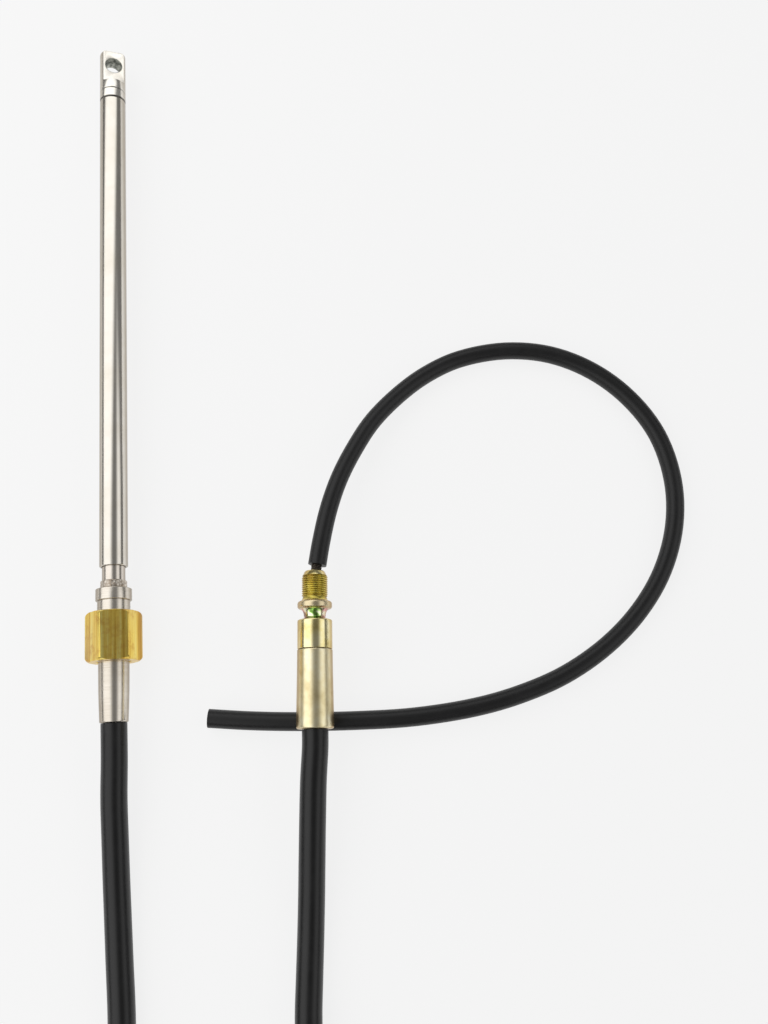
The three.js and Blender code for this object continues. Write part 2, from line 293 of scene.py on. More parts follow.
def rounded(start, corner, end, steps=5):  # a corner of an outline, rounded
    points = []
    for k in range(steps + 1):
        t = k / steps
        points.append(tuple((1 - t) ** 2 * a + 2 * t * (1 - t) * b + t * t * c
                            for a, b, c in zip(start, corner, end)))
    return points


def roundedFoot(radius, station, size, steps=5):  # from the end face out to the side
    return rounded((radius - size, station), (radius, station), (radius, station + size), steps)


def roundedHead(radius, station, size, steps=5):  # from the side in to the end face
    return rounded((radius, station - size), (radius, station), (radius - size, station), steps)


def ringOutline(outside, inside):
    return [*outside, *inside, outside[0]]


def outwardsOf(corner):  # from the Y axis to a vertex
    return Vector((corner.co.x, 0, corner.co.z))


def putAtOutput(piece, turn=0.0):
    place = Matrix.Translation(fromSeat(0, 0, 0) + Vector((0, 0, outputHeight)))
    piece.data.transform(place @ Matrix.Rotation(math.radians(turn), 4, "Y"))
    piece.data.update()


def putAtHelm(piece):
    piece.data.transform(helmMatrix())
    piece.data.update()


def finishPiece(piece, body, finish, slotName, *nodes):
    piece.data.materials.clear()
    piece.data.materials.append(finish.material)
    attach(piece, body)
    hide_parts(*nodes)


# Conduit and sleeve: millimetres from the collar's seat

cordSpans = 6  # finer points from one route point to the next

conduit = {
    "radius": 7.15,
    "firstStep": 20,
    "firstDrop": 0.6,
    "lastStep": 9,
    "outputRun": [(-0.5, -114, 13.3), (-0.5, -135, 10.9), (-0.4, -155, 8.8), (0, -175, 7.4),
                  (0.7, -195, 7.2), (1.8, -226, 7.2), (1.2, -256, 7.2), (-2, -290, 7.2),
                  (-5.5, -325, 7.2), (-7.8, -354.5, 7.2), (-9.4, -388, 7.2)],
    "helmRun": [(146.5, -298.9, 21.5), (135.5, -295, 21.5), (123.6, -288.6, 21.3), (113.4, -279.5, 20.2),
                (105.5, -268.5, 17.9), (100.3, -255.9, 15), (98.1, -243, 12.2), (98.1, -228, 9.8),
                (99.2, -212, 8), (100.8, -192, 7.8), (102.4, -172, 10), (103.9, -152, 13.8),
                (105.5, -131, 17.3), (107.1, -111, 19.6)],
    "coilCentre": (116, -420),
    "coilRadius": 126,
    "coilAngles": (180, 780),
    "coilStep": 15,
    "liftAngles": (450, 515),  # where the second turn climbs on the first
    "layers": (7.2, 21.5),
}

sleeve = {
    "radius": 5.2,
    "bore": 3.35,
    "boreDepth": 9.0,
    "capReach": 0.5,
    "capSides": 8,
    "points": [(115.1, 5.1, 20.9), (117.9, 18, 20.6), (123, 37, 19.4), (129.8, 55, 17.4), (139.3, 73, 14.6),
               (152.2, 92, 11.4), (171.4, 110.5, 8), (188.2, 121.8, 6.3), (207, 129.6, 5.3),
               (234.8, 133, 5.25), (261.7, 128.7, 5.25), (286, 116.4, 5.25), (306, 97.4, 5.25),
               (319.8, 73.5, 5.25), (325.2, 45, 5.25), (322.3, 18, 5.25), (312, -8, 5.25), (296, -30, 5.25),
               (275, -48.6, 5.25), (249.5, -63.4, 5.25), (223, -72.6, 5.25), (197.6, -77.9, 5.25),
               (164, -80.9, 5.25), (130.7, -80.7, 5.25), (97, -79, 5.25), (72.7, -76.9, 5.25),
               (49.8, -74.1, 5.25)],
}


def smoothStep(t):
    t = min(1, max(0, t))
    return t * t * (3 - 2 * t)


def coilTurns(size):
    points = []
    low, high = size["layers"]
    first, last = size["coilAngles"]
    liftFrom, liftTo = size["liftAngles"]
    for angle in range(first, last + 1, size["coilStep"]):
        lift = smoothStep((angle - liftFrom) / (liftTo - liftFrom))
        around = math.radians(angle)
        points.append((size["coilCentre"][0] + size["coilRadius"] * math.cos(around),
                       size["coilCentre"][1] + size["coilRadius"] * math.sin(around),
                       low + (high - low) * lift))
    return points


def curveThrough(points):  # centripetal curve through points, as a list of finer points
    ends = [2 * points[0] - points[1], *points, 2 * points[-1] - points[-2]]
    line = []
    for p0, p1, p2, p3 in zip(ends, ends[1:], ends[2:], ends[3:]):
        t1 = (p1 - p0).length ** 0.5
        t2 = t1 + (p2 - p1).length ** 0.5
        t3 = t2 + (p3 - p2).length ** 0.5
        for k in range(cordSpans):
            t = t1 + (t2 - t1) * k / cordSpans
            a1 = p0.lerp(p1, t / t1)
            a2 = p1.lerp(p2, (t - t1) / (t2 - t1))
            a3 = p2.lerp(p3, (t - t2) / (t3 - t2))
            b1 = a1.lerp(a2, t / t2)
            b2 = a2.lerp(a3, (t - t1) / (t3 - t1))
            line.append(b1.lerp(b2, (t - t1) / (t2 - t1)))
    line.append(points[-1])
    return line


def lineLength(line):
    return sum((b - a).length for a, b in zip(line, line[1:]))


def cordCurve(name, line, radius):
    data = bpy.data.curves.new(name, "CURVE")
    data.dimensions = "3D"
    data.twist_mode = "MINIMUM"
    data.bevel_depth = radius
    data.bevel_resolution = 8
    data.use_fill_caps = True
    spline = data.splines.new("POLY")
    spline.points.add(len(line) - 1)
    for point, place in zip(spline.points, line):
        point.co = (*place, 1)
    spline.use_smooth = True
    piece = bpy.data.objects.new(name, data)
    bpy.context.scene.collection.objects.link(piece)
    return piece


def layConduit():
    size = conduit
    helm = helmMatrix()
    foot, height = fittingSize["end"] - seatGap, outputHeight / mm
    start = fromSeat(0, foot, height)
    routeStart = [start, fromSeat(0, foot - size["firstStep"], height - size["firstDrop"])]
    routeEnd = [helm @ Vector((0, -reach * mm, 0)) for reach in (seatGap + size["lastStep"], seatGap)]
    route = [*size["outputRun"], *coilTurns(size), *size["helmRun"]]
    line = curveThrough([*routeStart, *[fromSeat(*point) for point in route], *routeEnd])
    piece = cordCurve("conduit", line, size["radius"] * mm)
    lineLength(line)
    print("conduit", round(lineLength(line), 4))
    return piece


def laySleeve():
    line = curveThrough([fromSeat(*point) for point in sleeve["points"]])
    curve = cordCurve("sleeveCurve", line, sleeve["radius"] * mm)
    chooseOnly(curve)
    bpy.ops.object.convert(target="MESH")
    piece = bpy.context.object
    piece.name = "sleeve"
    outwards(piece)
    for end, inner in ((line[0], line[1]), (line[-1], line[-2])):  # the cut ends are open round the core
        openEnd(piece, end, (inner - end).normalized())
    smoothPiece(piece, 40)
    lineLength(line)
    print("sleeve", round(lineLength(line), 4))
    return piece


def openEnd(piece, centre, inwards):
    size = sleeve
    chooseOnly(piece)
    bpy.ops.object.mode_set(mode="EDIT")
    bpy.ops.mesh.select_mode(type="FACE")
    bpy.ops.mesh.select_all(action="DESELECT")
    bpy.ops.object.mode_set(mode="OBJECT")
    for face in piece.data.polygons:
        near = (Vector(face.center) - centre).length < size["capReach"] * mm
        face.select = near and len(face.vertices) > size["capSides"]
    bpy.ops.object.mode_set(mode="EDIT")
    bpy.ops.mesh.inset(thickness=(size["radius"] - size["bore"]) * mm)
    depth = size["boreDepth"] * mm
    bpy.ops.mesh.extrude_region_move(TRANSFORM_OT_translate={"value": tuple(inwards * depth)})
    bpy.ops.object.mode_set(mode="OBJECT")


# Finishes: noise scales are per metre, bump distances in millimetres

steelIor, platedIor = 2.2, 2.0
# the painted rim shade: where it starts, and how dark it makes each metal
rimBlend, rimReach = 0.35, (0.2, 0.5)
rimShadeTint = {"steel": (0.56, 0.53, 0.49, 1), "brass": (0.88, 0.85, 0.86, 1), "ferrule": (0.52, 0.43, 0.34, 1),
           "helm": (0.66, 0.56, 0.46, 1)}


def duller(tone, steps):
    return colour(*[value - step for value, step in zip(tone, steps)])


def ramFinish(name, tone=(228, 223, 214), rough=0.17):
    finish = metal(name, steelIor)
    place = finish.place()
    hair = finish.clouds(finish.stretch(place, 900.0, 14.0), 1.0, 4.0, 0.6)  # polishing lines along the tube
    haze = finish.clouds(place, 38.0)
    stain = finish.clouds(place, 160.0, 2.0)
    worn = finish.within(finish.share(haze, 0.7, stain), 0.42, 0.72)
    steel = finish.blend(worn, colour(*tone), duller(tone, (9, 11, 15)))
    finish.feed("Base Color", finish.rim(steel, rimShadeTint["steel"]))
    finish.feed("Roughness", finish.between(finish.share(hair, 0.6, haze), rough * 0.7, rough * 1.4))
    finish.relief(finish.share(hair, 0.4, haze), 0.06, 0.4)
    return finish


def eyeFinish():  # like the ram, with painted shade in the bolt hole and dark turned lines
    finish = metal("eyeSteel", steelIor)
    size = eyeSize
    place = finish.place(tuple(fromSeat(0, 0, outputHeight / mm)), (0, math.radians(size["turn"]), 0))
    across, along = finish.axis(place, "X"), finish.axis(place, "Y")
    haze = finish.clouds(place, 60.0)
    grit = finish.clouds(place, 420.0, 4.0, 0.65)
    steel = finish.blend(finish.within(haze, 0.4, 0.7), colour(246, 242, 234), colour(232, 226, 214))
    steel = finish.rim(steel, rimShadeTint["steel"])
    hole = (size["tip"] - size["holeInset"]) * mm
    fromHole = (across ** 2.0 + (along - hole) ** 2.0) ** 0.5
    inHole = 1 - finish.eased(fromHole, (size["holeRadius"] + 0.02) * mm, (size["holeRadius"] + 0.45) * mm)
    # painted shade: the bolt hole's wall is darkened, mottled by the grit noise
    holeShade = finish.ramp(grit, (0.38, colour(104, 106, 100)), (0.58, colour(200, 201, 192)))
    joint = finish.band(along, size["foot"] * mm, 0.55 * mm, 0.35 * mm)
    line = finish.band(along, (size["foot"] + size["lineAbove"]) * mm, 0.2 * mm, 0.2 * mm)
    worn = finish.blend(finish.calc("MAXIMUM", joint, line) * 0.85, steel, colour(58, 56, 54))
    finish.feed("Base Color", finish.blend(inHole, worn, holeShade))
    finish.feed("Roughness", finish.between(finish.share(haze, 0.5, grit), 0.16, 0.3) + inHole * 0.35)
    finish.relief(finish.share(grit, 0.5, haze), 0.06, 0.3)
    return finish


def turnedSteelFinish(name, tone=(226, 219, 208)):
    finish = metal(name, steelIor)
    place = finish.place()
    wander = finish.clouds(place, 60.0, 2.0)
    lines = finish.add("TexWave", {"wave_type": "BANDS", "bands_direction": "Y", "wave_profile": "SIN"},
                       {"Vector": place, "Scale": 420.0, "Distortion": 0.6, "Detail": 2.0}, output="Fac")
    grain = finish.clouds(finish.stretch(place, 40.0, 2600.0), 1.0, 3.0, 0.7)
    spots = finish.clouds(place, 420.0)
    worn = finish.within(finish.share(grain, 0.5, wander), 0.4, 0.72)
    steel = finish.blend(worn, colour(*tone), duller(tone, (28, 32, 38)))
    finish.feed("Base Color", finish.rim(steel, rimShadeTint["steel"]))
    finish.feed("Roughness", finish.between(finish.share(grain, 0.7, spots), 0.17, 0.32))
    finish.relief(finish.share(lines, 0.35, grain), 0.07, 0.2)
    return finish


def roughSteelFinish(name):
    finish = metal(name, steelIor)
    place = finish.place()
    chips = finish.add("TexVoronoi", {"feature": "F1"}, {"Vector": place, "Scale": 620.0}, output="Distance")
    grit = finish.clouds(place, 900.0, 4.0, 0.7)
    mottled = chips * 0.6 + grit * 0.6
    finish.feed("Base Color", finish.ramp(mottled, (0.2, colour(236, 230, 220)), (0.8, colour(166, 152, 136))))
    finish.feed("Roughness", finish.between(grit, 0.22, 0.5))
    finish.relief(finish.share(chips, 0.6, grit), 0.5, 0.4)
    return finish


def brassFinish():
    finish = metal("nutBrass", platedIor)
    place = finish.place()
    streaks = finish.clouds(finish.stretch(place, 560.0, 12.0), 1.0, 5.0, 0.7)  # drawn-bar lines
    broad = finish.clouds(finish.stretch(place, 170.0, 6.0), 1.0, 2.0)
    spots = finish.clouds(place, 260.0, 4.0, 0.6)
    tarnish = finish.clouds(place, 75.0, 2.0)
    golden = finish.ramp(finish.share(streaks, 0.55, broad), (0.36, colour(192, 142, 44)),
                         (0.5, colour(242, 208, 98)), (0.64, colour(255, 242, 150)))
    aged = finish.blend(finish.within(finish.share(tarnish, 0.5, spots), 0.52, 0.74), golden,
                        colour(206, 154, 70))
    finish.feed("Base Color", finish.rim(aged, rimShadeTint["brass"]))
    finish.feed("Roughness", finish.between(finish.share(streaks, 0.5, spots), 0.2, 0.4))
    finish.relief(finish.share(streaks, 0.8, spots), 0.25, 0.3)
    return finish


def helmPlace(finish):  # coordinates along and across the helm end, in metres from the ferrule's end
    centre = fromSeat(*helmEnd["offset"], helmEnd["height"])
    return finish.place(tuple(centre), (0, 0, -math.radians(helmEnd["turn"])))


def ferruleZincFinish():
    finish = metal("ferruleZinc", platedIor)
    place = helmPlace(finish)
    grain = finish.clouds(finish.stretch(place, 30.0, 1900.0), 1.0, 3.0, 0.6)
    cloud = finish.clouds(place, 80.0)
    patches = finish.clouds(place, 260.0)
    pale = finish.ramp(finish.share(cloud, 0.6, patches), (0.34, colour(250, 243, 212)),
                       (0.52, colour(242, 229, 186)), (0.68, colour(222, 205, 156)))
    edge = finish.band(finish.axis(place, "Y"), helmFerruleSize["length"] * mm, 0.35 * mm, 0.3 * mm)
    lined = finish.blend(edge * 0.15, pale, colour(122, 100, 62))
    finish.feed("Base Color", finish.rim(lined, rimShadeTint["ferrule"]))
    finish.feed("Roughness", finish.between(finish.share(grain, 0.5, patches), 0.25, 0.36))
    finish.relief(finish.share(grain, 0.6, patches), 0.03, 0.2)
    return finish


def fittingZincFinish():  # pale body and flange, green and pink groove with painted sheen and painted glints, golden thread with painted shade in its roots
    finish = metal("fittingZinc", platedIor)
    place = helmPlace(finish)
    across, along, up = [finish.axis(place, name) for name in "XYZ"]
    station = along / mm
    radius = ((across ** 2.0 + up ** 2.0) ** 0.5) / mm
    size, at = helmFittingSize, helmStations()
    cloud = finish.clouds(place, 120.0)
    patches = finish.clouds(place, 420.0)
    grain = finish.clouds(finish.stretch(place, 30.0, 2200.0), 1.0, 3.0, 0.6)
    glintAndPatchNoise = finish.clouds(place, 330.0, 1.0)
    body = finish.ramp(cloud, (0.35, colour(250, 240, 194)), (0.55, colour(240, 225, 162)),
                       (0.7, colour(220, 200, 132)))
    thread = finish.ramp(finish.share(cloud, 0.6, patches), (0.36, colour(248, 236, 132)),
                         (0.5, colour(232, 214, 100)), (0.64, colour(214, 190, 100)))
    # painted shade: the thread's colour darkens towards its root
    root = 1 - finish.eased(radius, size["threadRadius"] - 0.5, size["threadRadius"] - 0.1)
    thread = finish.blend(root * 0.5, thread, colour(120, 98, 44))
    # the groove's tint by side: the green middle is the plating's own colour, the pink towards the sides is
    # painted sheen
    side = (across / (size["grooveRadius"] * mm)).magnitude()
    tint = finish.ramp(side * 0.9 + cloud * 0.2 - 0.1, (0.22, colour(150, 200, 96)),
                       (0.46, colour(214, 238, 158)), (0.7, colour(246, 200, 188)),
                       (0.95, colour(240, 176, 186)))
    # painted glints: near-white where this noise is high, then darker green patches where it is low
    tint = finish.blend(finish.eased(glintAndPatchNoise, 0.52, 0.6) * 0.85, tint, colour(255, 255, 224))
    tint = finish.blend((1 - finish.eased(glintAndPatchNoise, 0.4, 0.46)) * 0.6, tint, colour(74, 92, 46))
    inGroove = finish.within(station, at["bodyTop"] - 0.1, at["bodyTop"] + 0.5)
    inGroove = inGroove * (1 - finish.within(station, at["grooveTop"] - 0.5, at["grooveTop"] + 0.1))
    onThread = finish.within(station, at["flangeTop"] + 0.2, at["flangeTop"] + 1.0)
    onThread = onThread * (1 - finish.within(station, at["threadTop"] + 0.2, at["threadTop"] + 0.5))
    onFlange = finish.band(station, (at["grooveTop"] + at["flangeTop"]) / 2, 1.9, 0.4)
    plated = finish.blend(onFlange, body, colour(222, 206, 168))
    plated = finish.blend(inGroove, plated, tint)
    plated = finish.blend(onThread, plated, thread)
    gloss = finish.between(finish.share(grain, 0.4, patches), 0.11, 0.22)
    finish.feed("Base Color", finish.rim(plated, rimShadeTint["helm"]))
    finish.feed("Roughness", gloss + onThread * 0.16 + onFlange * 0.12)
    finish.relief(finish.share(grain, 0.5, patches), 0.05, 0.2)
    return finish


def wireFinish():
    finish = Finish("coreWire", {"Metallic": 0.85, "IOR": platedIor})
    place = finish.place()
    grit = finish.clouds(place, 700.0, 4.0, 0.65)
    grease = finish.clouds(place, 120.0, 2.0)
    finish.feed("Base Color", finish.ramp(finish.share(grit, 0.5, grease), (0.35, colour(26, 23, 20)),
                                          (0.65, colour(80, 70, 58))))
    finish.feed("Roughness", finish.between(grit, 0.35, 0.7))
    finish.relief(grit, 0.3, 0.2)
    return finish


def jacketFinish(name, dark, light, low, high):
    finish = Finish(name, {"Metallic": 0.0, "IOR": 1.47})
    place = finish.place()
    skin = finish.clouds(place, 900.0, 3.0, 0.6)
    rub = finish.clouds(place, 46.0, 4.0, 0.6)
    dust = finish.clouds(place, 210.0)
    worn = finish.within(finish.share(rub, 0.6, dust), 0.46, 0.66)
    finish.feed("Base Color", finish.blend(worn, colour(*dark), colour(*light)))
    finish.feed("Roughness", finish.between(finish.share(rub, 0.5, dust), low, high))
    finish.relief(finish.share(skin, 0.5, dust), 0.12, 0.3)
    return finish


# Output end: radii and stations along the ram, millimetres from the collar's seat

ramSize = {"radius": 7.94, "wall": 1.19, "foot": 12.75, "head": 314.75, "footRound": 0.8, "headRound": 0.55}


def makeRam():
    size = ramSize
    outer, bore = size["radius"], size["radius"] - size["wall"]
    low, high = size["foot"], size["head"]
    outside = [*roundedFoot(outer, low, size["footRound"]), *roundedHead(outer, high, size["headRound"])]
    piece = turned("ramTube", ringOutline(outside, [(bore, high), (bore, low)]), 160)
    smoothPiece(piece)
    putAtOutput(piece)
    finishPiece(piece, "ram", finishes["ram"], "ram_steel", "ram_tube")


eyeSize = {"radius": ramSize["radius"], "foot": ramSize["head"] + seatGap, "tip": 349.65, "round": 0.55,
           "halfThickness": 4.75, "flatLength": 22.2, "flatRound": 0.6, "holeRadius": 5.2, "holeInset": 10.1,
           "holeCut": 30, "tipRound": 1.6, "turn": 21.4, "spigotRadius": 6.45, "spigotLength": 12.3,
           "spigotEdge": 0.4, "socketRadius": 3.3, "socketDepth": 9, "lineAbove": 6.4, "lineWidth": 0.9,
           "lineFloor": 0.3, "lineDepth": 0.32, "edge": 0.3}


def makeEye():
    size = eyeSize
    outer, low, tip = size["radius"], size["foot"], size["tip"]
    spigot, spigotEdge = size["spigotRadius"], size["spigotEdge"]
    spigotFoot = low - size["spigotLength"]
    socket, socketEnd = size["socketRadius"], spigotFoot + size["socketDepth"]
    line, lineHalf, floorHalf = low + size["lineAbove"], size["lineWidth"] / 2, size["lineFloor"] / 2
    lineRadius = outer - size["lineDepth"]
    profile = [(0, socketEnd), (socket, socketEnd), (socket, spigotFoot), (spigot - spigotEdge, spigotFoot),
               (spigot, spigotFoot + spigotEdge), (spigot, low), *roundedFoot(outer, low, size["round"]),
               (outer, line - lineHalf), (lineRadius, line - floorHalf), (lineRadius, line + floorHalf),
               (outer, line + lineHalf), *roundedHead(outer, tip, size["tipRound"], 7), (0, tip)]
    piece = turned("ramEye", profile)
    for side in (-1, 1):  # the two milled flats
        clearSelection()
        width = 4 * outer
        middle = (0, tip - size["flatLength"] + width / 2, side * (size["halfThickness"] + width / 2))
        bpy.ops.mesh.primitive_cube_add(size=width * mm, location=Vector(middle) * mm)
        cutter = bpy.context.object
        applyModifier(cutter, "BEVEL", width=size["flatRound"] * mm, segments=3)
        cutWith(piece, cutter)
    clearSelection()
    bpy.ops.mesh.primitive_cylinder_add(vertices=96, radius=size["holeRadius"] * mm,
                                        depth=size["holeCut"] * mm,
                                        location=(0, (tip - size["holeInset"]) * mm, 0))
    cutWith(piece, bpy.context.object)
    bevelEdges(piece, size["edge"], 3, 50)
    outwards(piece)
    smoothPiece(piece)
    putAtOutput(piece, size["turn"])
    finishPiece(piece, "ram", finishes["eye"], "eye_steel", "ram_eye")


guideSize = {"radius": 6.45, "bore": 4.95, "foot": -34.7, "head": 294.75, "headRound": 0.4}


def makeGuide():
    size = guideSize
    radius, bore, low, high = size["radius"], size["bore"], size["foot"], size["head"]
    outside = [(radius, low), *roundedHead(radius, high, size["headRound"])]
    piece = turned("guideTube", ringOutline(outside, [(bore, high), (bore, low)]), 96)
    smoothPiece(piece)
    putAtOutput(piece)
    finishPiece(piece, "conduit", finishes["guide"], "guide_steel", "guide_tube")


ringSize = {"radius": 7.42, "bore": 6.75, "height": 4.4, "footEdge": 0.35, "topRound": 0.7, "topInset": 0.5,
            "flankInset": 0.02, "flankSteps": 12, "dent": 0.28, "dentScales": (620, 1400), "skin": 0.2}


def makeFootRing():
    size = ringSize
    outer, bore, steps = size["radius"], size["bore"], size["flankSteps"]
    low, high = seatGap, seatGap + size["height"]
    flank = [(outer - size["flankInset"], low + size["height"] * k / steps) for k in range(2, steps - 1)]
    outside = [(outer - size["footEdge"], low), *flank,
               *rounded((outer, high - size["topRound"]), (outer, high), (outer - size["topInset"], high), 3)]
    piece = turned("footRing", ringOutline(outside, [(bore, high), (bore, low)]), 144)
    broad, fine = size["dentScales"]
    for corner in piece.data.vertices:  # hammered, uneven skin
        out = outwardsOf(corner)
        if out.length > (bore + size["skin"]) * mm:
            place = Vector(corner.co)
            dent = abs(noise.noise(place * broad)) + 0.5 * abs(noise.noise(place * fine))
            corner.co -= out.normalized() * size["dent"] * dent * mm
    smoothPiece(piece, 40)
    putAtOutput(piece)
    finishPiece(piece, "conduit", finishes["ring"], "ring_steel", "foot_ring")


fittingSize = {"collarRadius": 10.0, "collarLength": 6.6, "neckRadius": 9.05, "neckEnd": -40.3,
               "stepHalf": 0.3, "reliefDepth": 0.15, "reliefLength": 0.4, "ferruleTop": 8.5,
               "ferruleMiddle": 8.3375, "ferruleEnd": 7.85, "flankRise": 0.16, "flankLength": 6, "end": -73.6,
               "endRound": 1.3, "endInset": 0.585, "mouthRadius": 7.6, "seatRadius": 6.75, "seatDepth": -35,
               "coreBore": 3.3, "edge": 0.45}


def makeOutputFitting():
    size = fittingSize
    edge, foot, neckEnd, step = size["edge"], size["end"], size["neckEnd"], size["stepHalf"]
    collar, neck, back = size["collarRadius"], size["neckRadius"], -size["collarLength"]
    end, seat, depth, bore = size["ferruleEnd"], size["seatRadius"], size["seatDepth"], size["coreBore"]
    relief = neck - size["reliefDepth"]
    outside = [*rounded((end - size["endInset"], foot), (end, foot), (end, foot + size["endRound"])),
               (end + size["flankRise"], foot + size["flankLength"]),
               (size["ferruleMiddle"], (neckEnd + foot) / 2),
               (size["ferruleTop"], neckEnd - step), (neck, neckEnd + step),
               (neck, back - size["reliefLength"]), (relief, back - size["reliefLength"] / 2), (relief, back),
               *roundedFoot(collar, back, edge), *roundedHead(collar, 0, edge)]
    inside = [(size["mouthRadius"], 0), (seat, seat - size["mouthRadius"]), (seat, depth), (bore, depth),
              (bore, foot)]
    piece = turned("outputFitting", ringOutline(outside, inside), 144)
    smoothPiece(piece)
    putAtOutput(piece)
    finishPiece(piece, "conduit", finishes["fitting"], "fitting_steel", "output_fitting")


nutSize = {"acrossFlats": 27.0, "front": -13.3, "back": -40.6, "chamfer": 2.0, "round": 2.6,
           "roundMiddle": (0.3, 0.7), "past": 0.02, "threadRadius": 10.3, "threadCrest": 0.55,
           "threadPitch": 1.814, "threadStart": 1.5, "ridge": (0.45, 0.55), "lipLength": 7.8, "lipBore": 9.35,
           "lipFlare": 1, "mouthDepth": 1, "mouthFlare": 1.6, "overcut": 0.6, "edge": 0.22, "turn": 14.2}


def nutBore(size):  # a smooth lip at the back, and a thread in front of it
    front, back, over = size["front"], size["back"], size["overcut"]
    lip, lipEnd = size["lipBore"], back + size["lipLength"]
    crest, root = size["threadRadius"], size["threadRadius"] + size["threadCrest"]
    pitch, flare = size["threadPitch"], size["lipFlare"]
    bore = [(0, back - flare), (lip + flare, back - flare), (lip, back + over), (lip, lipEnd), (root, lipEnd)]
    station = lipEnd + size["threadStart"]
    while station + pitch < front:
        bore += [(root, station), *[(crest, station + pitch * part) for part in size["ridge"]]]
        station += pitch
    return [*bore, (crest, front - size["mouthDepth"]), (crest + size["mouthFlare"], front + over),
            (0, front + over)]


def makeNut():
    size = nutSize
    corner = size["acrossFlats"] / 2 / math.cos(math.pi / 6)
    front, back = size["front"], size["back"]
    clearSelection()
    bpy.ops.mesh.primitive_cylinder_add(vertices=6, radius=corner * mm, depth=(front - back) * mm)
    piece = bpy.context.object
    piece.name = "couplingNut"
    lay = Matrix.Translation((0, (front + back) / 2 * mm, 0)) @ Matrix.Rotation(math.pi / 2, 4, "X")
    piece.data.transform(Matrix.Rotation(math.pi / 6, 4, "Y") @ lay)  # with a flat up
    bevelEdges(piece, size["edge"], 2, 30)
    face, past, rise = corner - size["chamfer"], corner + size["past"], size["round"]
    inset, lift = size["roundMiddle"]
    cones = turned("nutCones", [(0, back),
                                *rounded((face, back), (past - inset, back + lift), (past, back + rise), 8),
                                *rounded((past, front - rise), (past - inset, front - lift), (face, front), 8),
                                (0, front)], 144)
    cutWith(piece, cones, "INTERSECT")
    cutWith(piece, turned("nutBore", nutBore(size), 96))
    outwards(piece)
    smoothPiece(piece, 24)
    putAtOutput(piece, size["turn"])
    finishPiece(piece, "nut", finishes["brass"], "nut_brass", "coupling_nut")


# Helm end: radii and stations along it, millimetres from the ferrule's end

helmFerruleSize = {"length": 42.5, "top": 9.75, "flare": 10.2, "round": 1.3, "seat": 6.3, "socketFoot": 14.5,
                   "coreBore": 3.3, "taper": ((0.2, 10.2), (0.3, 10.12), (0.7, 9.85)), "topFlank": 0.9,
                   "topRound": 0.5, "topInset": 0.4}


def makeHelmFerrule():
    size = helmFerruleSize
    top, length, seat, bore = size["top"], size["length"], size["seat"], size["coreBore"]
    outside = [*roundedFoot(size["flare"], 0, size["round"]),
               *[(radius, length * share) for share, radius in size["taper"]],
               (top, length - size["topFlank"]),
               *rounded((top, length - size["topRound"]), (top, length), (top - size["topInset"], length), 3)]
    inside = [(seat, length), (seat, size["socketFoot"]), (bore, size["socketFoot"]), (bore, 0)]
    piece = turned("helmFerrule", ringOutline(outside, inside), 144)
    smoothPiece(piece)
    putAtHelm(piece)
    finishPiece(piece, "conduit", finishes["ferrule"], "ferrule_zinc", "helm_ferrule")


helmFittingSize = {"foot": helmFerruleSize["length"] + seatGap, "footRound": 0.4, "bodyLength": 16.05,
                   "bodyRadius": 9.66, "bodyRound": 0.9, "grooveLength": 6.2, "grooveRadius": 6.07,
                   "grooveFoot": ((2.4, 0.05), (-0.9, 1.2), (0, 2.2)),  # out from the groove, up from its foot
                   "grooveHead": ((0, -3.4), (0.3, -1.2), (1.6, -0.05)),  # and down from its top
                   "flangeLength": 4.1, "flangeRadius": 9.58, "flangeRound": 1.5, "shankRadius": 6.0,
                   "shankLength": 28, "threadRadius": 7.2, "threadDepth": 0.62, "threadPitch": 1.2,
                   "threadTurns": 10, "ringsPerTurn": 14, "threadFades": (1.0, 0.5), "rootLength": 2.2,
                   "rootRadius": 7.6, "rootFillet": (0.5, -0.2), "noseLength": 2.85, "noseRadius": 5.7,
                   "noseSteps": ((0.35, 0.15), (0.5, 0.5)), "noseEdge": 0.35, "coreBore": 3.3,
                   "boreFlare": 0.9, "boreFlareDepth": 5}


def helmStations():
    size = helmFittingSize
    at = {"bodyTop": size["foot"] + size["bodyLength"]}
    at["grooveTop"] = at["bodyTop"] + size["grooveLength"]
    at["flangeTop"] = at["grooveTop"] + size["flangeLength"]
    at["threadFoot"] = at["flangeTop"] + size["rootLength"]
    at["threadTop"] = at["threadFoot"] + size["threadTurns"] * size["threadPitch"]
    at["tip"] = at["threadTop"] + size["noseLength"]
    return at


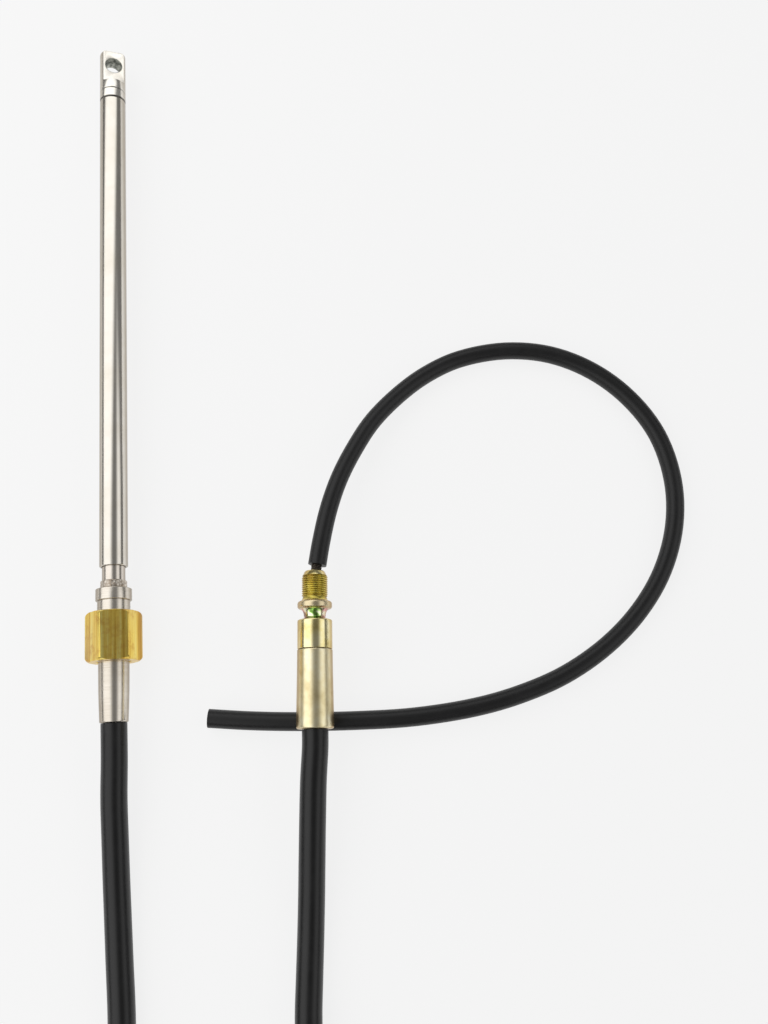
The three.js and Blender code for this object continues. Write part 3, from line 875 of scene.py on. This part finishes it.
def makeHelmFitting():
    size, at = helmFittingSize, helmStations()
    foot, body, waist, nose = size["foot"], size["bodyRadius"], size["grooveRadius"], size["noseRadius"]
    flange, flangeRound = size["flangeRadius"], size["flangeRound"]
    shank, shankFoot = size["shankRadius"], size["foot"] - size["shankLength"]
    threadFoot, threadTop, tip, bore = at["threadFoot"], at["threadTop"], at["tip"], size["coreBore"]
    root = size["threadRadius"] - size["threadDepth"]
    filletFrom, filletTo = [size["rootRadius"] + out for out in size["rootFillet"]]
    rings = size["threadTurns"] * size["ringsPerTurn"]
    outside = [(shank, shankFoot), (shank, foot), *roundedFoot(body, foot, size["footRound"], 3),
               *roundedHead(body, at["bodyTop"], size["bodyRound"]),
               *rounded(*[(waist + out, at["bodyTop"] + up) for out, up in size["grooveFoot"]], 6),
               *rounded(*[(waist + out, at["grooveTop"] + up) for out, up in size["grooveHead"]], 6),
               *roundedFoot(flange, at["grooveTop"], flangeRound),
               *roundedHead(flange, at["flangeTop"], flangeRound),
               *rounded((filletFrom, at["flangeTop"]), (filletTo, at["flangeTop"]), (root, threadFoot), 4),
               *[(root, threadFoot + (threadTop - threadFoot) * k / rings) for k in range(1, rings)],
               (root, threadTop),
               *[(size["threadRadius"] - inset, threadTop + up) for inset, up in size["noseSteps"]],
               (nose, tip - size["noseEdge"]), (nose - size["noseEdge"], tip)]
    inside = [(bore + size["boreFlare"], tip), (bore, tip - size["boreFlareDepth"]), (bore, shankFoot)]
    piece = turned("helmFitting", ringOutline(outside, inside), 144)
    raiseThread(piece, root, threadFoot, threadTop)
    smoothPiece(piece, 38)
    putAtHelm(piece)
    finishPiece(piece, "conduit", finishes["helm"], "fitting_zinc", "helm_fitting")


def raiseThread(piece, root, low, high):  # a rolled helical ridge on the thread's root
    size = helmFittingSize
    fadeIn, fadeOut = size["threadFades"]
    nearest, slack = root - 0.3, 0.01
    for corner in piece.data.vertices:
        station = corner.co.y / mm
        out = outwardsOf(corner)
        if low - slack <= station <= high + slack and out.length > nearest * mm:
            around = math.atan2(corner.co.z, corner.co.x) / (2 * math.pi)
            phase = ((station - low) / size["threadPitch"] - around) % 1
            ridge = 0.5 - 0.5 * math.cos(2 * math.pi * phase)
            fade = smoothStep((station - low) / fadeIn) * smoothStep((high - station) / fadeOut)
            corner.co += out.normalized() * size["threadDepth"] * ridge * fade * mm


coreSize = {"radius": 2.95, "strands": 7, "lay": 13.0, "groove": 0.3, "rings": 60, "steps": 112,
            "start": (113.3, -6.0, 20.98), "end": (115.3, 9.5, 20.85)}  # from the collar's seat


def makeHelmCore():
    size = coreSize
    start, end = fromSeat(*size["start"]), fromSeat(*size["end"])
    length, radius, rings = (end - start).length / mm, size["radius"], size["rings"]
    outline = [(0, 0), *[(radius, length * k / rings) for k in range(rings + 1)], (0, length)]
    piece = turned("helmCore", outline, size["steps"])
    for corner in piece.data.vertices:  # strands wound round the core
        out = outwardsOf(corner)
        if out.length > radius / 2 * mm:
            around = math.atan2(corner.co.z, corner.co.x) + 2 * math.pi * corner.co.y / mm / size["lay"]
            groove = size["groove"] * (1 - abs(math.cos(around * size["strands"] / 2)))
            corner.co -= out.normalized() * groove * mm
    smoothPiece(piece, 50)
    towards = (end - start).to_track_quat("Y", "Z").to_matrix().to_4x4()
    piece.data.transform(Matrix.Translation(start) @ towards)
    finishPiece(piece, "conduit", finishes["wire"], "core_wire", "helm_core")


def dressCoreRod():  # the hidden core in the ram keeps its shape
    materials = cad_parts["core_rod"].data.materials
    materials.clear()
    materials.append(finishes["wire"].material)


# Studio: a pale floor under one broad soft light, which has an unlit gap round the camera

studio = {
    "floorSize": 8.0,
    "floorGlow": 0.825,
    "floorTone": 0.12,
    "skyGlow": 0.18,
    "skyShown": 0.9,
    "tent": {"height": 0.70, "from": (-2.3, -1.3), "to": (2.3, 1.55), "glow": 1.17},
    "gap": {"left": -0.08, "slantFrom": 0.134, "slant": 0.80, "leftBlur": 0.17, "right": (0.36, 0.86),
            "rightEnd": (0.33, 0.80), "rightGlow": 0.76, "fade": 0.5},
}


def makeFloor():
    clearSelection()
    bpy.ops.mesh.primitive_plane_add(size=studio["floorSize"], location=(0, 0, 0))
    floor = bpy.context.object
    floor.name = "floor"
    finish = Finish("floorPale", {"Base Color": grey(studio["floorTone"]), "Roughness": 0.9, "Metallic": 0.0,
                                  "Specular IOR Level": 0.0, "Emission Color": grey(1),
                                  "Emission Strength": studio["floorGlow"]})
    floor.data.materials.append(finish.material)


def makeTent():
    tent, gap = studio["tent"], studio["gap"]
    (west, south), (east, north) = tent["from"], tent["to"]
    width, length = east - west, north - south
    data = bpy.data.lights.new("tent", "AREA")
    data.shape = "RECTANGLE"
    data.size, data.size_y = width, length
    data.energy = tent["glow"] * math.pi * width * length
    data.use_nodes = True
    sheet = Sheet(data.node_tree)
    position = sheet.add("NewGeometry", output="Position")
    across = sheet.axis(position, "X") - collarSeat.x
    along = sheet.axis(position, "Y") - collarSeat.y
    edge = sheet.calc("MAXIMUM", along - gap["slantFrom"], 0.0) * gap["slant"] + gap["left"]
    left = 1 - sheet.eased(across - edge, -gap["leftBlur"], gap["leftBlur"])
    right = sheet.eased(across, *gap["right"]) * (1 - sheet.eased(along, *gap["rightEnd"])) * gap["rightGlow"]
    outer = sheet.eased(across, west, west + gap["fade"])
    outer = outer * (1 - sheet.eased(across, east - gap["fade"], east))
    outer = outer * (1 - sheet.eased(along, north - gap["fade"] / 2, north))
    glow = sheet.calc("MAXIMUM", left, right) * outer
    sheet.tree.links.new(glow.socket, data.node_tree.nodes["Emission"].inputs["Strength"])
    light = bpy.data.objects.new("tent", data)
    bpy.context.scene.collection.objects.link(light)
    light.location = collarSeat + Vector(((east + west) / 2, (north + south) / 2, tent["height"]))
    light.visible_camera = False


def makeSky():  # dimmer in reflections than it looks from the camera
    world = bpy.data.worlds.new("sky")
    bpy.context.scene.world = world
    world.use_nodes = True
    sheet = Sheet(world.node_tree)
    seen = sheet.add("LightPath", output="Is Camera Ray")
    glow = sheet.blend(seen, grey(studio["skyGlow"]), grey(studio["skyShown"]))
    sheet.tree.links.new(glow.socket, sheet.tree.nodes["Background"].inputs["Color"])


setCamera()
print("camera set")

conduitPiece = layConduit()
sleevePiece = laySleeve()
finishes = {
    "ram": ramFinish("ramSteel"),
    "eye": eyeFinish(),
    "guide": ramFinish("guideSteel", (222, 214, 204), 0.2),
    "fitting": turnedSteelFinish("fittingSteel"),
    "ring": roughSteelFinish("ringSteel"),
    "brass": brassFinish(),
    "ferrule": ferruleZincFinish(),
    "helm": fittingZincFinish(),
    "wire": wireFinish(),
    "conduit": jacketFinish("conduitBlack", (10, 10, 11), (20, 20, 21), 0.27, 0.42),
    "sleeve": jacketFinish("sleeveBlack", (8, 8, 9), (16, 16, 17), 0.36, 0.5),
}
finishPiece(conduitPiece, "conduit", finishes["conduit"], "conduit_black",
            "conduit_output", "conduit_coil", "conduit_helm")
finishPiece(sleevePiece, "conduit", finishes["sleeve"], "sleeve_black", "core_sleeve")
print("cords finished")

makeRam()
makeEye()
makeGuide()
makeFootRing()
makeOutputFitting()
makeNut()
print("output end made")

makeHelmFerrule()
makeHelmFitting()
makeHelmCore()
dressCoreRod()
print("helm end made")

makeFloor()
makeTent()
makeSky()
bpy.context.scene.view_settings.view_transform = "Standard"
bpy.context.scene.view_settings.look = "None"
print("studio made")
